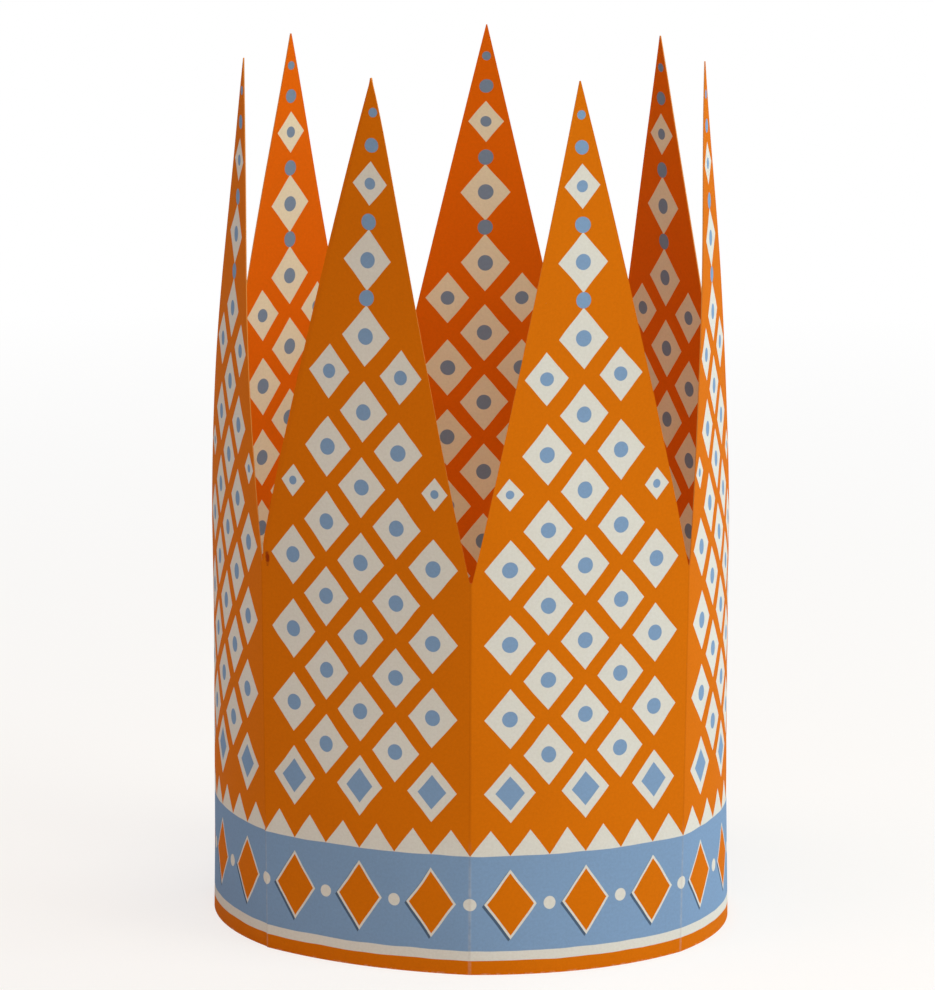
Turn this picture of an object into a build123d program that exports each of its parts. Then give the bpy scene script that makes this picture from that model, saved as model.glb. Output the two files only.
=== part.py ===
# Paper crown: one long sheet of printed card, cut to spikes along its top edge, scored and folded at
# upright creases into a ring of bowed panels, and closed by gluing one spare panel behind the first.
# Millimetres, +Z up. The origin is the middle of the ring on the surface that the crown stands on,
# and the crease that faces the viewer is on the -Y side.
from build123d import *
import os
from math import asin, cos, degrees, pi, radians, sin

# The sheet as it is cut
panel_count = 7
panel_width = 82.0          # from crease to crease along the card
crown_height = 307.5        # from the foot to the cut tips
notch_height = 138.0        # from the foot to the bottom of each notch
tip_width = 1.0             # the cutter leaves each tip this wide
notch_width = 0.8           # and the bottom of each notch this wide
card_thickness = 0.4

# The ring as it stands
panel_bow = 6.0             # how far the middle of a panel springs out past its creases
ring_turn = -1.0            # degrees from the viewer to the front crease, positive to the right
crease_shares = (0.995, 1.015, 0.98, 1.02, 0.96, 1.035, 0.995)   # each crease's share of an even radius
spike_lean = 8.5            # how far a usual tip curls in past its panel
spike_lean_shares = (1.00, 1.05, 0.85, 0.75, 0.45, 0.95, 1.40)

# The glued lap: the sheet goes on from the left panel and ends behind the front left one
lap_shift = 1.5             # how far the hidden panel sits to the left of the one over it

cut_overrun = 4.0           # how far a cutting shape reaches past what it trims

# A shallow arc is longer than its chord by 8/3 of its rise squared over its length
chord = panel_width - 8 / 3 * panel_bow**2 / panel_width
ring_radius = chord / (2 * sin(pi / panel_count))
spike_height = crown_height - notch_height


def crease_post(step):
    """Where a crease stands: even steps round a ring that is never quite round."""
    radius = ring_radius * crease_shares[step % panel_count]
    around = radians(ring_turn) + 2 * pi * step / panel_count
    return Vector(radius * sin(around), -radius * cos(around))


def panel_plane(step):
    """The upright plane through a panel's two creases: X along the foot, Y up, Z out of the ring."""
    first, last = crease_post(step), crease_post(step + 1)
    along = (last - first).normalized()
    return Plane(origin=(first + last) / 2, x_dir=along, z_dir=along.cross(Vector(0, 0, 1)))


def panel_arc(step, first_depth, last_depth):
    """One face of a panel seen from above, sunk into the ring by a depth at each crease."""
    first, last = crease_post(step), crease_post(step + 1)
    start = first - first.normalized() * first_depth
    end = last - last.normalized() * last_depth
    rise = panel_bow - (first_depth + last_depth) / 2
    return ThreePointArc(start, (first + last) / 2 + panel_plane(step).z_dir * rise, end)


def card_section(step, first_depth=0, last_depth=0, end_share=1):
    """The card of one panel seen from above, mitred at its creases and cut off at a share of its width."""
    outer = panel_arc(step, first_depth, last_depth)
    inner = panel_arc(step, first_depth + card_thickness, last_depth + card_thickness)
    if end_share < 1:
        outer, inner = outer.trim(0, end_share), inner.trim(0, end_share)
    ends = [Line(outer @ end, inner @ end) for end in (0, 1)]
    return make_face([outer, inner, *ends])


def rolled_card(step, section):
    """The card above the notches, rolled inward about a level axis far behind the panel, so that it
    leaves the band upright and its middle is one lean further in at the height of the tip."""
    lean = spike_lean * spike_lean_shares[step]
    roll_radius = (spike_height**2 + lean**2) / (2 * lean)
    roll_angle = asin((spike_height + cut_overrun) / roll_radius)
    plane = panel_plane(step)
    middle = plane.origin + plane.z_dir * (panel_bow - roll_radius)
    axis = Axis(middle + Vector(0, 0, notch_height), -plane.x_dir)
    return revolve(Pos(0, 0, notch_height) * section, axis, degrees(roll_angle))


def spike(step, section, shift=0):
    """The triangle that the cutter leaves of a rolled panel, moved to the left by a shift."""
    half = ((crease_post(step + 1) - crease_post(step)).length - notch_width) / 2
    low = notch_height - cut_overrun
    corners = [(-half, low), (half, low), (half, notch_height), (tip_width / 2, crown_height)]
    corners += [(-tip_width / 2, crown_height), (-half, notch_height)]
    outline = Pos(-shift, 0) * make_face(Polyline(*corners, close=True))
    return rolled_card(step, section) & extrude(panel_plane(step) * outline, ring_radius, both=True)


# The left panel slips under the front left one, and the lap goes on from it
front_left = panel_count - 1
left = front_left - 1
sections = [card_section(step) for step in range(panel_count)]
sections[left] = card_section(left, last_depth=card_thickness)
lap = card_section(front_left, card_thickness, card_thickness, 1 - lap_shift / panel_width)

band = extrude(sections[0].fuse(*sections[1:], lap), notch_height)
spikes = [spike(step, section) for step, section in enumerate(sections)]
spikes.append(spike(front_left, lap, lap_shift))
crown = band.fuse(*spikes)
crown.label = "crown"

os.makedirs("parts", exist_ok=True)
export_step(crown, "parts/crown.step")
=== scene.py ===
import math

import bpy
import numpy as np
from mathutils import Matrix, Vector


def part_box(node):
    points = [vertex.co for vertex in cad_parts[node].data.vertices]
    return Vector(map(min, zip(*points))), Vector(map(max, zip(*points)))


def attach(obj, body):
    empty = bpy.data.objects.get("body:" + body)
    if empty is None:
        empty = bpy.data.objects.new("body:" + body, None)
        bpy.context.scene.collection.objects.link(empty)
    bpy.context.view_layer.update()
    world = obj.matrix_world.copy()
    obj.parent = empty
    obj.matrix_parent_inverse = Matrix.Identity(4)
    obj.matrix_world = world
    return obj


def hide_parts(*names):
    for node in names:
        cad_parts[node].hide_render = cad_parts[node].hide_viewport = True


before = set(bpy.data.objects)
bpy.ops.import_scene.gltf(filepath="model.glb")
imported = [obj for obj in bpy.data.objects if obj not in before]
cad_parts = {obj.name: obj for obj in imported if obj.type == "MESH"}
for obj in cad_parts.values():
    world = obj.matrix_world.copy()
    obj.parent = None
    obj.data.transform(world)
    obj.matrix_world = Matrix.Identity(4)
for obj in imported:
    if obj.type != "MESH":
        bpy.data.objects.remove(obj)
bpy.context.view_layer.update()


# The crown's card: one sheet of thin printed card with eight panels in a row, cut to a spike above each.
# It is scored and folded at the upright creases into a ring of seven, and the eighth panel, the lap,
# is glued behind the first. The panels spring out at the foot and are drawn flatter up at the notches.
mm = 0.001
panel_count = 7
panel_width = 82 * mm               # from crease to crease along the card
card_thickness = 0.4 * mm
crown_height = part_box("crown")[1][2]
notch_height = 138 * mm
spike_height = crown_height - notch_height
tip_width = 0.4 * mm
notch_width = 0.8 * mm
foot_bow = 8.3 * mm                 # how far the middle of a panel springs out past its creases at the foot
foot_bow_shares = np.array([1.05, 1, 1, 1, 1, 1, 0.75])
notch_bow = 3.5 * mm                # and at the notches
ring_turn = math.radians(-1)
crease_shares = np.array([0.995, 1.015, 0.98, 1.02, 0.96, 1.035, 0.995])
spike_lean = 7 * mm                 # how far a tip leans in past its panel in a straight line
spike_lean_shares = np.array([-0.07, 0.60, 0, 0, 0, 0, 0.37])
spike_curl = 3 * mm                 # and how far it curls in on top of that
spike_curl_shares = np.array([1.15, -0.35, 0.70, 0.40, -0.50, 1.00, 2.20])
lap_shift = 1.6 * mm                # how far the lap was glued to the left of the panel over it
tip_draw_power = 12                 # the higher, the closer to the tip that panel is drawn over to the lap
glue_film = 0.05 * mm
paper_ripple = 0.25 * mm
ripple_height = 120 * mm
ripple_turn = 2                     # radians from one panel's ripple to the next one's

# The sheet in its order from left to right: the panel over the lap comes first, and the lap last
front_left = panel_count - 1
sheet_steps = [front_left, *range(panel_count)]
lap_place = len(sheet_steps) - 1


def crease_posts(bow):
    """Where the creases stand where panels have this bow. A shallow arc is longer than its chord by 8/3 of
    its rise squared over its length, and the chords close into a ring that is never quite round."""
    chord = panel_width - 8 / 3 * bow**2 / panel_width
    radius = chord / (2 * math.sin(math.pi / panel_count)) * crease_shares
    around = ring_turn + 2 * math.pi * np.arange(panel_count) / panel_count
    return np.stack([radius * np.sin(around), -radius * np.cos(around)], axis=-1)


def panel_arc(step, share, bow, bow_share):
    """A panel seen from above: straight from post to post, plus a parabola as high as a share of the bow.
    Gives its points and the level way out of the ring."""
    posts = crease_posts(bow)
    first, last = posts[step], posts[(step + 1) % panel_count]
    along = last - first
    outward = np.array([along[1], -along[0]]) / np.hypot(*along)
    rise = bow * bow_share * (1 - (2 * share - 1) ** 2)
    return first + share[..., None] * along + rise[..., None] * outward, outward


def card_face(step, share, height, depth):
    """A face of the card at shares of the panel's width and heights above the foot. Straight lines run from
    the arc at the foot through the arc at the notches. Past those, the card leaves them by its lean, as
    the way to the tip, and by its curl, as the square of that. The face sinks by its depth towards the
    ring's middle, and a slow ripple, highest half way across, keeps the card from being dead flat."""
    at_foot = panel_arc(step, share, foot_bow, foot_bow_shares[step])[0]
    at_notch, outward = panel_arc(step, share, notch_bow, 1)
    climb = (height / notch_height)[..., None]
    past_notch = np.maximum(height - notch_height, 0) / spike_height
    lean = spike_lean * spike_lean_shares[step]
    curl = spike_curl * spike_curl_shares[step]
    bend = lean * past_notch + curl * past_notch**2
    wave = np.sin(2 * math.pi * height / ripple_height + ripple_turn * step)
    ripple = paper_ripple * np.sin(math.pi * share) * wave
    flat = at_foot + (at_notch - at_foot) * climb + (ripple - bend)[..., None] * outward
    posts = crease_posts(notch_bow)
    radials = posts / np.linalg.norm(posts, axis=-1, keepdims=True)
    first, last = radials[step], radials[(step + 1) % panel_count]
    sinking = first + share[..., None] * (last - first)
    sinking /= np.linalg.norm(sinking, axis=-1, keepdims=True)
    flat = flat - depth[..., None] * sinking
    return np.concatenate([flat, height[..., None]], axis=-1)


def face_depth(place, share):
    """How deep the outer face lies: the left panel slips under the first one, and the lap goes on there."""
    under = card_thickness + glue_film
    if place == lap_place:
        return np.full_like(share, under)
    return under * share if place == lap_place - 1 else np.zeros_like(share)


def spike_sides(place, height):
    """The shares of the width at a spike's two cut edges, which close in straight lines to the tip. The lap
    was glued a little to the left of the first panel, whose tip is drawn over to it by a high power of
    the way up."""
    climb = (height - notch_height) / spike_height
    wide, narrow = 1 - notch_width / panel_width, tip_width / panel_width
    half = (wide + (narrow - wide) * climb) / 2
    shift = 0
    if place == lap_place:
        shift = lap_shift / panel_width
    if place == 0:
        shift = lap_shift / panel_width * climb**tip_draw_power
    return np.maximum(0.5 - half - shift, 0.5 - wide / 2), 0.5 + half - shift


cells_across = 24
band_rows = 36
spike_rows = 56
spike_columns = cells_across + 1
panel_columns = spike_columns + 1   # a panel's first column is its crease, on the flat bottom of the notch
band_heights = np.linspace(0, notch_height, band_rows + 1)
spike_heights = np.linspace(notch_height, crown_height, spike_rows + 1)
across = np.linspace(0, 1, spike_columns)

band_points, band_places, spike_points, spike_places = [], [], [], []
for place, step in enumerate(sheet_steps):
    left, right = spike_sides(place, spike_heights[:, None])
    spike_share = left + across * (right - left)
    band_share = np.concatenate([[0], spike_share[0]])
    if place == lap_place:
        band_share = np.append(band_share, 1 - lap_shift / panel_width)
    grids = np.meshgrid(band_heights, band_share, indexing="ij")
    spike_grids = np.broadcast_arrays(spike_heights[1:, None], spike_share[1:])
    for points, places, (height, share) in ((band_points, band_places, grids),
                                            (spike_points, spike_places, spike_grids)):
        depths = face_depth(place, share)
        layers = [card_face(step, share, height, depths + layer) for layer in (0, card_thickness)]
        points.append(np.stack(layers))
        places.append(np.stack([(place + share) * panel_width, height], axis=-1))

band_points = np.concatenate(band_points, axis=2)
band_places = np.concatenate(band_places, axis=1)
spike_points = np.stack(spike_points, axis=1)
spike_places = np.stack(spike_places)
layer_points = [np.concatenate([band_points[layer].reshape(-1, 3), spike_points[layer].reshape(-1, 3)])
                for layer in (0, 1)]
layer_places = np.concatenate([band_places.reshape(-1, 2), spike_places.reshape(-1, 2)])
layer_size = len(layer_places)


def grid_faces(grid):
    """Four-sided faces between the rows and columns of a grid of point numbers, seen from outside."""
    return np.stack([grid[:-1, :-1], grid[:-1, 1:], grid[1:, 1:], grid[1:, :-1]], axis=-1).reshape(-1, 4)


# A spike's grid of point numbers starts with the band's own top row, so that the two are one surface
band_grid = np.arange(band_places.shape[0] * band_places.shape[1]).reshape(band_places.shape[:2])
spike_grids = []
for place in range(len(sheet_steps)):
    first_column = place * panel_columns + 1
    notch_row = band_grid[-1:, first_column:first_column + spike_columns]
    first_point = band_grid.size + place * spike_rows * spike_columns
    own_rows = first_point + np.arange(spike_rows * spike_columns).reshape(spike_rows, -1)
    spike_grids.append(np.concatenate([notch_row, own_rows]))

# The cut edge goes round the whole sheet: along the foot, up its end, over every spike and back down
rim = [band_grid[0], band_grid[1:, -1]]
for grid in reversed(spike_grids):
    rim += [grid[:, -1], grid[-1, -2:0:-1], grid[::-1, 0], [grid[0, 0] - 1]]
rim = np.concatenate([*rim, band_grid[-2:0:-1, 0]])
rim_next = np.roll(rim, -1)
outside = np.concatenate([grid_faces(grid) for grid in (band_grid, *spike_grids)])
inside = outside[:, ::-1] + layer_size
cut_edge = np.stack([rim_next, rim, rim + layer_size, rim_next + layer_size], axis=-1)

# The folds are narrow but rounded, and only the cut edge turns sharply
sharp_turn = math.radians(50)
card_mesh = bpy.data.meshes.new("crown_card")
card_faces = np.concatenate([outside, inside, cut_edge])
card_mesh.from_pydata(np.concatenate(layer_points), [], card_faces)
face_materials = np.repeat([0, 0, 1], [len(outside), len(inside), len(cut_edge)])
card_mesh.polygons.foreach_set("material_index", face_materials)
card_mesh.polygons.foreach_set("use_smooth", np.ones(len(card_faces), dtype=bool))
card_mesh.set_sharp_from_angle(angle=sharp_turn)

# Every point knows its place on the flat sheet: the way along it, the height, and 0 outside or 1 inside
point_places = np.concatenate([np.insert(layer_places, 2, side, axis=1) for side in (0, 1)])
card_mesh.attributes.new("sheet", "FLOAT_VECTOR", "POINT").data.foreach_set("vector", point_places.ravel())

# The flat sheet's two sides lie above each other on the map that the finish is baked on. The thin strip
# of the cut edge lies between them, and its upright runs slant, so that they don't fold up there.
map_size = 672 * mm
map_margin = 6 * mm
inside_row = 0.51
edge_row = 0.48
edge_strip = 0.012
edge_slant = 50
corners = point_places[card_faces.ravel()]
on_edge = np.repeat([False, False, True], [outside.size, inside.size, cut_edge.size])
map_u = (map_margin + corners[:, 0] + on_edge * corners[:, 1] / edge_slant) / map_size
map_v = np.where(on_edge, edge_row + edge_strip * corners[:, 2],
                 (map_margin + corners[:, 1]) / map_size + inside_row * corners[:, 2])
card_mesh.uv_layers.new(name="OFBake").data.foreach_set("uv", np.stack([map_u, map_v], axis=-1).ravel())

crown_card = bpy.data.objects.new("crown_card", card_mesh)
bpy.context.collection.objects.link(crown_card)
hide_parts("crown")
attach(crown_card, "root")


# The print on both sides of the card: flat fields of orange, blue and white ink in cut-paper shapes.
# Plain stripes and a row of lozenges go round the foot, and tiers of lozenges climb each panel.
outside_orange = (0.68, 0.17, 0.001, 1)
outside_white = (0.735, 0.75, 0.725, 1)
outside_blue = (0.215, 0.36, 0.60, 1)
# The inside colours are the inks plus a painted warm glow, warmer and redder than outside, for light bounced
# round inside the ring
inside_orange_with_painted_glow = (0.82, 0.15, 0.001, 1)
inside_white_with_painted_glow = (0.85, 0.79, 0.60, 1)
inside_blue_with_painted_glow = (0.21, 0.30, 0.44, 1)
shadow_ink = (0.08, 0.13, 0.22, 1)
bare_card = (0.80, 0.78, 0.74, 1)
foot_edge_top = 5.0 * mm
foot_line_top = 8.4 * mm
foot_band_top = 42 * mm
teeth_on_panel = 6
tooth_width = panel_width / teeth_on_panel
tooth_height = 9 * mm
columns_on_panel = 3
column_pitch = panel_width / columns_on_panel
tier_pitch = 26 * mm
first_tier = 64 * mm
lozenge_half_width = 9 * mm
lozenge_half_height = 10.5 * mm
lozenge_room = 12 * mm              # a lozenge with less room than this to the cut edge is smaller
smallest_lozenge = 0.45             # and is left out where its size would be under this share
dot_radius = 2.8 * mm
tip_dot_room = 19 * mm
tip_dot_share = 0.45
last_dot_height = 296 * mm
last_dot_radius = 1.6 * mm
foot_lozenge_height = 25 * mm
foot_lozenge_half_width = 8 * mm
foot_lozenge_half_height = 11 * mm
foot_lozenge_outline = 1.12
printed_shadow = 0.7 * mm
shadow_softness = 2
foot_dot_radius = 2.2 * mm
low_tier_top = first_tier + tier_pitch / 4
low_tier_blue = 0.58
hand_cut_wobble = 0.9 * mm
ink_edge = 0.12 * mm


class SurfaceNumber:
    """A number that varies over a surface, worked out by shader nodes, which plain signs join to another."""

    def __init__(self, socket):
        self.socket = socket
        self.tree = socket.id_data

    def joined(self, operation, *others):
        """This number and the others, joined by one of the operations of the Math node."""
        node = self.tree.nodes.new("ShaderNodeMath")
        node.operation = operation
        for place, value in enumerate((self, *others)):
            if isinstance(value, SurfaceNumber):
                self.tree.links.new(value.socket, node.inputs[place])
            else:
                node.inputs[place].default_value = value
        return SurfaceNumber(node.outputs[0])

    def __add__(self, other):
        return self.joined("ADD", other)

    def __sub__(self, other):
        return self.joined("SUBTRACT", other)

    def __mul__(self, other):
        return self.joined("MULTIPLY", other)

    def __truediv__(self, other):
        return self.joined("DIVIDE", other)

    def __abs__(self):
        return self.joined("ABSOLUTE")

    def nearest(self, pitch, start=0.0):
        """The nearest of a row of places one pitch apart."""
        return ((self - start) / pitch).joined("ROUND") * pitch + start

    def below(self, level, blur):
        """1 where the number is under a level and 0 where it is over it, changing evenly across the blur.
        A blur under zero turns that round."""
        gap = (self - level) * (-1 / blur) + 0.5
        return gap.joined("MAXIMUM", 0.0).joined("MINIMUM", 1.0)

    def away_from(self, other):
        """How far two numbers at right angles reach together."""
        return (self * self + other * other).joined("SQRT")


def numbers_of(vector):
    """The three numbers that a vector or a colour holds."""
    tree = vector.id_data
    parts = tree.nodes.new("ShaderNodeSeparateXYZ")
    tree.links.new(vector, parts.inputs[0])
    return [SurfaceNumber(part) for part in parts.outputs]


def place_on_sheet(tree):
    """The place on the flat sheet, as the mesh keeps it at each of its points."""
    attribute = tree.nodes.new("ShaderNodeAttribute")
    attribute.attribute_name = "sheet"
    return attribute.outputs["Vector"]


def noise_node(place, scale, detail, roughness=0.5):
    """Smooth noise from 0 to 1, scale features to the metre, as one number and as a colour of three."""
    tree = place.id_data
    noise = tree.nodes.new("ShaderNodeTexNoise")
    noise.inputs["Scale"].default_value = scale
    noise.inputs["Detail"].default_value = detail
    noise.inputs["Roughness"].default_value = roughness
    tree.links.new(place, noise.inputs["Vector"])
    return noise


def surface_noise(place, scale, detail, roughness=0.5):
    """Smooth noise, scale features to the metre, as a number that swings about zero."""
    return SurfaceNumber(noise_node(place, scale, detail, roughness).outputs["Fac"]) - 0.5


def inked(under, colour, share, blend="MIX"):
    """One colour laid over what is there, or multiplied with it, by a share that varies over the surface."""
    tree = share.tree
    mix = tree.nodes.new("ShaderNodeMix")
    mix.data_type = "RGBA"
    mix.blend_type = blend
    tree.links.new(share.socket, mix.inputs["Factor"])
    for name, value in (("A", under), ("B", colour)):
        socket = next(item for item in mix.inputs if item.name == name and item.type == "RGBA")
        if isinstance(value, tuple):
            socket.default_value = value
        else:
            tree.links.new(value, socket)
    return next(item for item in mix.outputs if item.type == "RGBA")


def card_half_width(height):
    """Half the width of a panel at a height: whole up to the notches, then straight in to the tip."""
    return ((height - crown_height) * (-panel_width / 2 / spike_height)).joined("MINIMUM", panel_width / 2)


def lozenge_tiers(across, height, column_start, tier_start):
    """Lozenges in columns and tiers. A lozenge's size follows the room from its middle to the cut edge at
    its height. Gives the white of the lozenges and the blue in them: a round dot, and a lozenge low down."""
    middle_across = across.nearest(column_pitch, column_start)
    middle_height = height.nearest(tier_pitch, tier_start).joined("MAXIMUM", tier_start)
    size = ((card_half_width(middle_height) - abs(middle_across)) / lozenge_room).joined("MINIMUM", 1.0)
    size = size * size.joined("GREATER_THAN", smallest_lozenge)
    aside, above = across - middle_across, height - middle_height
    reach = abs(aside) / lozenge_half_width + abs(above) / lozenge_half_height
    blur = ink_edge / lozenge_half_width
    white = (reach - size).below(0, blur)
    low_tier = middle_height.joined("LESS_THAN", low_tier_top)
    low_lozenge = (reach - size * low_tier * low_tier_blue).below(0, blur)
    dot = (aside.away_from(above) - size * dot_radius).below(0, ink_edge)
    return white, (dot + low_lozenge).joined("MINIMUM", white)


card_material = bpy.data.materials.new("printed_card")
card_material.use_nodes = True
card_tree = card_material.node_tree
card_shader = card_tree.nodes["Principled BSDF"]
sheet_place = place_on_sheet(card_tree)
sheet_along, sheet_height, sheet_inside = numbers_of(sheet_place)

# The shapes were cut by hand, so their outlines wander a little
wobble_along, wobble_up = numbers_of(noise_node(sheet_place, scale=70, detail=1).outputs["Color"])[:2]
cut_along = sheet_along + (wobble_along - 0.5) * hand_cut_wobble
cut_height = sheet_height + (wobble_up - 0.5) * hand_cut_wobble
cut_across = cut_along - cut_along.nearest(panel_width, panel_width / 2)

# The inside holds the same inks, tinted warmer and redder there: a painted warm glow that stands in for the
# light bounced round inside the ring
orange_ink_and_painted_glow, white_ink_and_painted_glow, blue_ink_and_painted_glow = (inked(outer, inner, sheet_inside) for outer, inner in
                                   ((outside_orange, inside_orange_with_painted_glow), (outside_white, inside_white_with_painted_glow),
                                    (outside_blue, inside_blue_with_painted_glow)))

print_colour = orange_ink_and_painted_glow
for column_start, tier_start in ((0, first_tier), (column_pitch / 2, first_tier + tier_pitch / 2)):
    white, blue = lozenge_tiers(cut_across, cut_height, column_start, tier_start)
    print_colour = inked(print_colour, white_ink_and_painted_glow, white)
    print_colour = inked(print_colour, blue_ink_and_painted_glow, blue)

# Where the spikes are too narrow for two columns, a blue dot stands between each two lozenges,
# and one more stands close to the tip
tip_dot_height = cut_height.nearest(tier_pitch, first_tier + tier_pitch / 2)
tip_half_width = card_half_width(tip_dot_height)
tip_dot_size = (tip_half_width * tip_dot_share).joined("MINIMUM", dot_radius)
tip_dot = (cut_across.away_from(cut_height - tip_dot_height) - tip_dot_size).below(0, ink_edge)
print_colour = inked(print_colour, blue_ink_and_painted_glow, tip_dot * tip_half_width.joined("LESS_THAN", tip_dot_room))
last_dot = cut_across.away_from(cut_height - last_dot_height).below(last_dot_radius, ink_edge)
print_colour = inked(print_colour, blue_ink_and_painted_glow, last_dot)

# White teeth stand on the blue band round the foot, which holds outlined lozenges with a printed shadow
# and white dots between them. A white line and an orange edge lie under it.
tooth = abs(cut_along - cut_along.nearest(tooth_width, tooth_width / 2)) * (2 * tooth_height / tooth_width)
teeth = (cut_height + tooth).below(foot_band_top + tooth_height, ink_edge)
print_colour = inked(print_colour, white_ink_and_painted_glow, teeth)
print_colour = inked(print_colour, blue_ink_and_painted_glow, cut_height.below(foot_band_top, ink_edge))
foot_aside = cut_across - cut_across.nearest(column_pitch)
foot_above = cut_height - foot_lozenge_height
foot_reach = abs(foot_aside) / foot_lozenge_half_width + abs(foot_above) / foot_lozenge_half_height
foot_blur = ink_edge / foot_lozenge_half_width
shadow_reach = (abs(foot_aside + printed_shadow) / foot_lozenge_half_width
                + abs(foot_above + printed_shadow) / foot_lozenge_half_height)
foot_shadow = shadow_reach.below(foot_lozenge_outline, shadow_softness * foot_blur)
print_colour = inked(print_colour, shadow_ink, foot_shadow)
print_colour = inked(print_colour, white_ink_and_painted_glow, foot_reach.below(foot_lozenge_outline, foot_blur))
print_colour = inked(print_colour, orange_ink_and_painted_glow, foot_reach.below(1, foot_blur))
dot_aside = cut_along - cut_along.nearest(column_pitch)
foot_dot = dot_aside.away_from(foot_above).below(foot_dot_radius, ink_edge)
print_colour = inked(print_colour, white_ink_and_painted_glow, foot_dot)
print_colour = inked(print_colour, white_ink_and_painted_glow, cut_height.below(foot_line_top, ink_edge))
print_colour = inked(print_colour, orange_ink_and_painted_glow, cut_height.below(foot_edge_top, ink_edge))

# The ink lies a little unevenly on the card's fibres, in slow clouds and in fine grain
mottle_tint = (0.80, 0.78, 0.76, 1)
mottle_level = 0.2
cloud_weight = 0.5
grain_weight = 0.9
clouds = surface_noise(sheet_place, scale=22, detail=3)
grain = surface_noise(sheet_place, scale=1000, detail=2, roughness=0.7)
mottle = (clouds * cloud_weight + grain * grain_weight + mottle_level).joined("MAXIMUM", 0.0)
print_colour = inked(print_colour, mottle_tint, mottle, "MULTIPLY")

# Along the score lines the panels are darkened a little, as painted shade in the folds, and where the crown
# is held, near the foot, the ink has cracked along them. The foot's own edge is rubbed.
fold_shade_width = 0.4 * mm
fold_painted_shade_tint = (0.90, 0.88, 0.88, 1)
held_height = 40 * mm
held_fade = 16 * mm
crack_width = 0.5 * mm
crack_level = 0.14
crack_spread = 0.5
rubbed_height = 0.5 * mm
rub_strength = 2
from_crease = abs(sheet_along - sheet_along.nearest(panel_width))
# Painted shade: each fold is darkened a little along a thin line
print_colour = inked(print_colour, fold_painted_shade_tint, from_crease.below(fold_shade_width, fold_shade_width), "MULTIPLY")
wear_noise = surface_noise(sheet_place, scale=260, detail=4, roughness=0.75)
often_held = sheet_height.below(held_height, held_fade)
crack_share = wear_noise * crack_spread + crack_level
cracked = from_crease.below(crack_width, crack_width) * often_held * crack_share
rubbed = sheet_height.below(rubbed_height, rubbed_height) * wear_noise * rub_strength
wear = cracked.joined("MAXIMUM", rubbed).joined("MAXIMUM", 0.0)
print_colour = inked(print_colour, bare_card, wear)

# A ragged smear of glue shows at the lap, beside the notch and on the outside alone
glue_stain = (0.22, 0.008, 0.002, 1)
glue_along = 2.7 * mm
glue_height = 139.5 * mm
glue_width = 0.9 * mm
glue_length = 2.2 * mm
glue_rim = 0.8
glue_fade = 0.6
glue_raggedness = 3
glue_strength = 0.8
glue_reach = ((sheet_along - glue_along) / glue_width).away_from((sheet_height - glue_height) / glue_length)
sheet_outside = sheet_inside * -1 + 1
glue = (glue_reach + wear_noise * glue_raggedness).below(glue_rim, glue_fade) * sheet_outside
print_colour = inked(print_colour, glue_stain, glue * glue_strength)
card_tree.links.new(print_colour, card_shader.inputs["Base Color"])

# Matt ink: a little smoother where it lies thick, and rougher where it is worn. The card's fibres stand
# up through it, and the worn places lie lower.
ink_roughness = 0.8
cloud_smoothing = 0.12
grain_roughening = 0.1
wear_roughening = 0.1
matt_shine = 0.06
fibre_height = 0.05 * mm
fibre_strength = 0.3
fibre_grain = 0.5
roughness = clouds * -cloud_smoothing + grain * grain_roughening + wear * wear_roughening + ink_roughness
card_tree.links.new(roughness.joined("MINIMUM", 1.0).socket, card_shader.inputs["Roughness"])
card_shader.inputs["Specular IOR Level"].default_value = matt_shine
bump = card_tree.nodes.new("ShaderNodeBump")
bump.inputs["Strength"].default_value = fibre_strength
bump.inputs["Distance"].default_value = fibre_height
fibres = surface_noise(sheet_place, scale=800, detail=3)
card_tree.links.new((fibres + grain * fibre_grain - wear).socket, bump.inputs["Height"])
card_tree.links.new(bump.outputs["Normal"], card_shader.inputs["Normal"])
card_mesh.materials.append(card_material)

# The cut edge shows the thin core of the card, with ink dragged over it raggedly from its two faces
edge_core = (0.66, 0.30, 0.08, 1)
edge_roughness = 0.85
edge_roughening = 0.2
edge_middle = 0.5
dragged_from = 0.34
dragged_fade = 0.2
dragged_raggedness = 0.5
edge_material = bpy.data.materials.new("cut_edge")
edge_material.use_nodes = True
edge_tree = edge_material.node_tree
edge_shader = edge_tree.nodes["Principled BSDF"]
edge_place = place_on_sheet(edge_tree)
across_edge = abs(numbers_of(edge_place)[2] - edge_middle)
edge_fibres = surface_noise(edge_place, scale=900, detail=3)
dragged_ink = (across_edge + edge_fibres * dragged_raggedness).below(dragged_from, -dragged_fade)
edge_tree.links.new(inked(edge_core, outside_orange, dragged_ink), edge_shader.inputs["Base Color"])
edge_tree.links.new((edge_fibres * edge_roughening + edge_roughness).socket, edge_shader.inputs["Roughness"])
edge_shader.inputs["Specular IOR Level"].default_value = matt_shine
card_mesh.materials.append(edge_material)


# The floor: a wide sheet of white board that the crown stands on, plain and matt.
# The camera sees it as white, and the crown's soft shadow stays on it close by.
floor_half = 6.0
floor_white = (0.82, 0.86, 0.93, 1)
floor_roughness = 0.9
floor_shadow_share = 0.3
floor_shadow_reach = 0.8
floor_shadow_fade = 1.0
floor_mesh = bpy.data.meshes.new("floor")
floor_corners = [(-floor_half, -floor_half, 0), (floor_half, -floor_half, 0),
                 (floor_half, floor_half, 0), (-floor_half, floor_half, 0)]
floor_mesh.from_pydata(floor_corners, [], [(0, 1, 2, 3)])
floor = bpy.data.objects.new("floor", floor_mesh)
bpy.context.collection.objects.link(floor)
floor_material = bpy.data.materials.new("white_board")
floor_material.use_nodes = True
floor_tree = floor_material.node_tree
floor_shader = floor_tree.nodes["Principled BSDF"]
floor_shader.inputs["Base Color"].default_value = floor_white
floor_shader.inputs["Roughness"].default_value = floor_roughness


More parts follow.
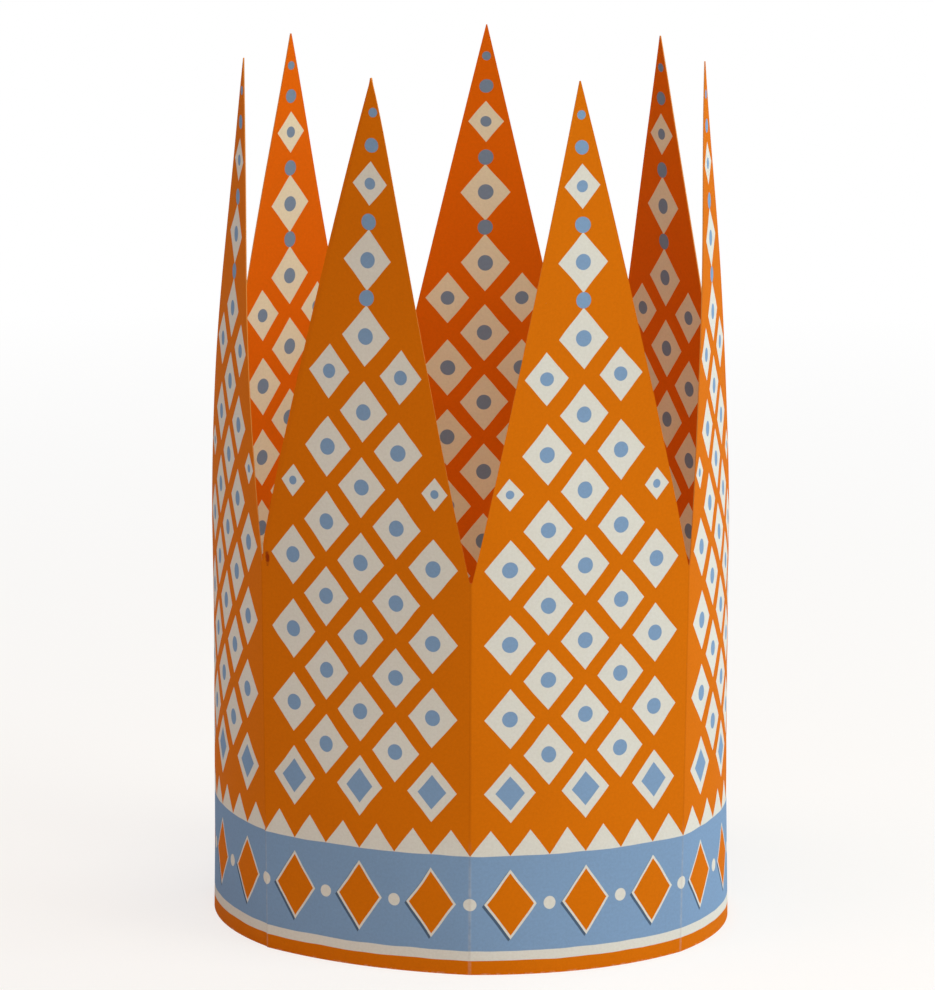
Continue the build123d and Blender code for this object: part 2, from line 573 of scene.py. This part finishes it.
def seen_share(tree):
    """1 for what the camera sees, also in a mirror or through glass, and 0 for light on its way."""
    path = tree.nodes.new("ShaderNodeLightPath")
    straight, mirrored, through = (SurfaceNumber(path.outputs[name]) for name in
                                   ("Is Camera Ray", "Is Glossy Ray", "Is Transmission Ray"))
    return straight.joined("MAXIMUM", mirrored).joined("MAXIMUM", through)


floor_place = floor_tree.nodes.new("ShaderNodeTexCoord")
floor_x, floor_y = numbers_of(floor_place.outputs["Object"])[:2]
near_crown = floor_x.away_from(floor_y).below(floor_shadow_reach, floor_shadow_fade)
floor_glow = floor_tree.nodes.new("ShaderNodeEmission")
floor_mix = floor_tree.nodes.new("ShaderNodeMixShader")
floor_seen = seen_share(floor_tree) * (near_crown * -floor_shadow_share + 1)
floor_tree.links.new(floor_seen.socket, floor_mix.inputs["Fac"])
floor_tree.links.new(floor_shader.outputs[0], floor_mix.inputs[1])
floor_tree.links.new(floor_glow.outputs[0], floor_mix.inputs[2])
floor_tree.links.new(floor_mix.outputs[0], floor_tree.nodes["Material Output"].inputs["Surface"])
floor_mesh.materials.append(floor_material)


# The studio: four large soft lamps, two plain ones on the right, a warm one high up in front and
# a weaker warm one on the left, and even light from all round. The camera sees plain white behind.
around_colour = (1, 0.98, 0.98, 1)
around_strength = 0.19
plain_white = (1, 1, 1, 1)
lamp_size = 1.0
lamp_facts = (("right_lamp", (1.5, -0.7, 0.9), 14.5, (0.96, 1, 0.96)),
              ("right_back_lamp", (1.2, 0.8, 1.2), 9, (0.98, 1, 0.9)),
              ("high_lamp", (0.2, -0.6, 2.2), 21, (1, 0.83, 0.52)),
              ("left_lamp", (-0.8, -0.4, 2.0), 12.5, (1, 0.62, 0.46)))
world = bpy.data.worlds.new("studio")
bpy.context.scene.world = world
world.use_nodes = True
world_tree = world.node_tree
around_light = world_tree.nodes["Background"]
around_light.inputs["Color"].default_value = around_colour
around_light.inputs["Strength"].default_value = around_strength
seen_white = world_tree.nodes.new("ShaderNodeBackground")
seen_white.inputs["Color"].default_value = plain_white
seen_white.inputs["Strength"].default_value = 1
world_mix = world_tree.nodes.new("ShaderNodeMixShader")
world_tree.links.new(seen_share(world_tree).socket, world_mix.inputs["Fac"])
world_tree.links.new(around_light.outputs[0], world_mix.inputs[1])
world_tree.links.new(seen_white.outputs[0], world_mix.inputs[2])
world_tree.links.new(world_mix.outputs[0], world_tree.nodes["World Output"].inputs["Surface"])

# Each lamp is a square that points at the middle of the crown
for name, place, power, colour in lamp_facts:
    lamp = bpy.data.lights.new(name, "AREA")
    lamp.size = lamp_size
    lamp.energy = power
    lamp.color = colour
    lamp_object = bpy.data.objects.new(name, lamp)
    bpy.context.collection.objects.link(lamp_object)
    forward = np.array([0, 0, crown_height / 2]) - place
    yaw = math.atan2(-forward[0], forward[1])
    lift = math.atan2(forward[2], np.hypot(forward[0], forward[1]))
    turn = Matrix.Rotation(yaw, 4, "Z") @ Matrix.Rotation(math.pi / 2 + lift, 4, "X")
    lamp_object.matrix_world = Matrix.Translation(place) @ turn


# The camera: a long lens, a little over two metres from the crown and a little above it.
# It looks down by eleven degrees, with hardly any turn or roll.
image_height = 990
lens_pixels = 6436.0
film_height = 36
camera_place = (2.1 * mm, -2232.2 * mm, 590.0 * mm)
camera_down = 0.19447
camera_turn = 0.00235
camera_roll = 0.00394
camera_data = bpy.data.cameras.new("camera")
camera_data.sensor_fit = "VERTICAL"
camera_data.sensor_height = film_height
camera_data.lens = lens_pixels * film_height / image_height
camera = bpy.data.objects.new("camera", camera_data)
bpy.context.collection.objects.link(camera)
camera_aim = (Matrix.Rotation(camera_turn, 4, "Z") @ Matrix.Rotation(math.pi / 2 - camera_down, 4, "X")
              @ Matrix.Rotation(camera_roll, 4, "Z"))
camera.matrix_world = Matrix.Translation(camera_place) @ camera_aim
bpy.context.scene.camera = camera
bpy.context.scene.view_settings.view_transform = "Standard"
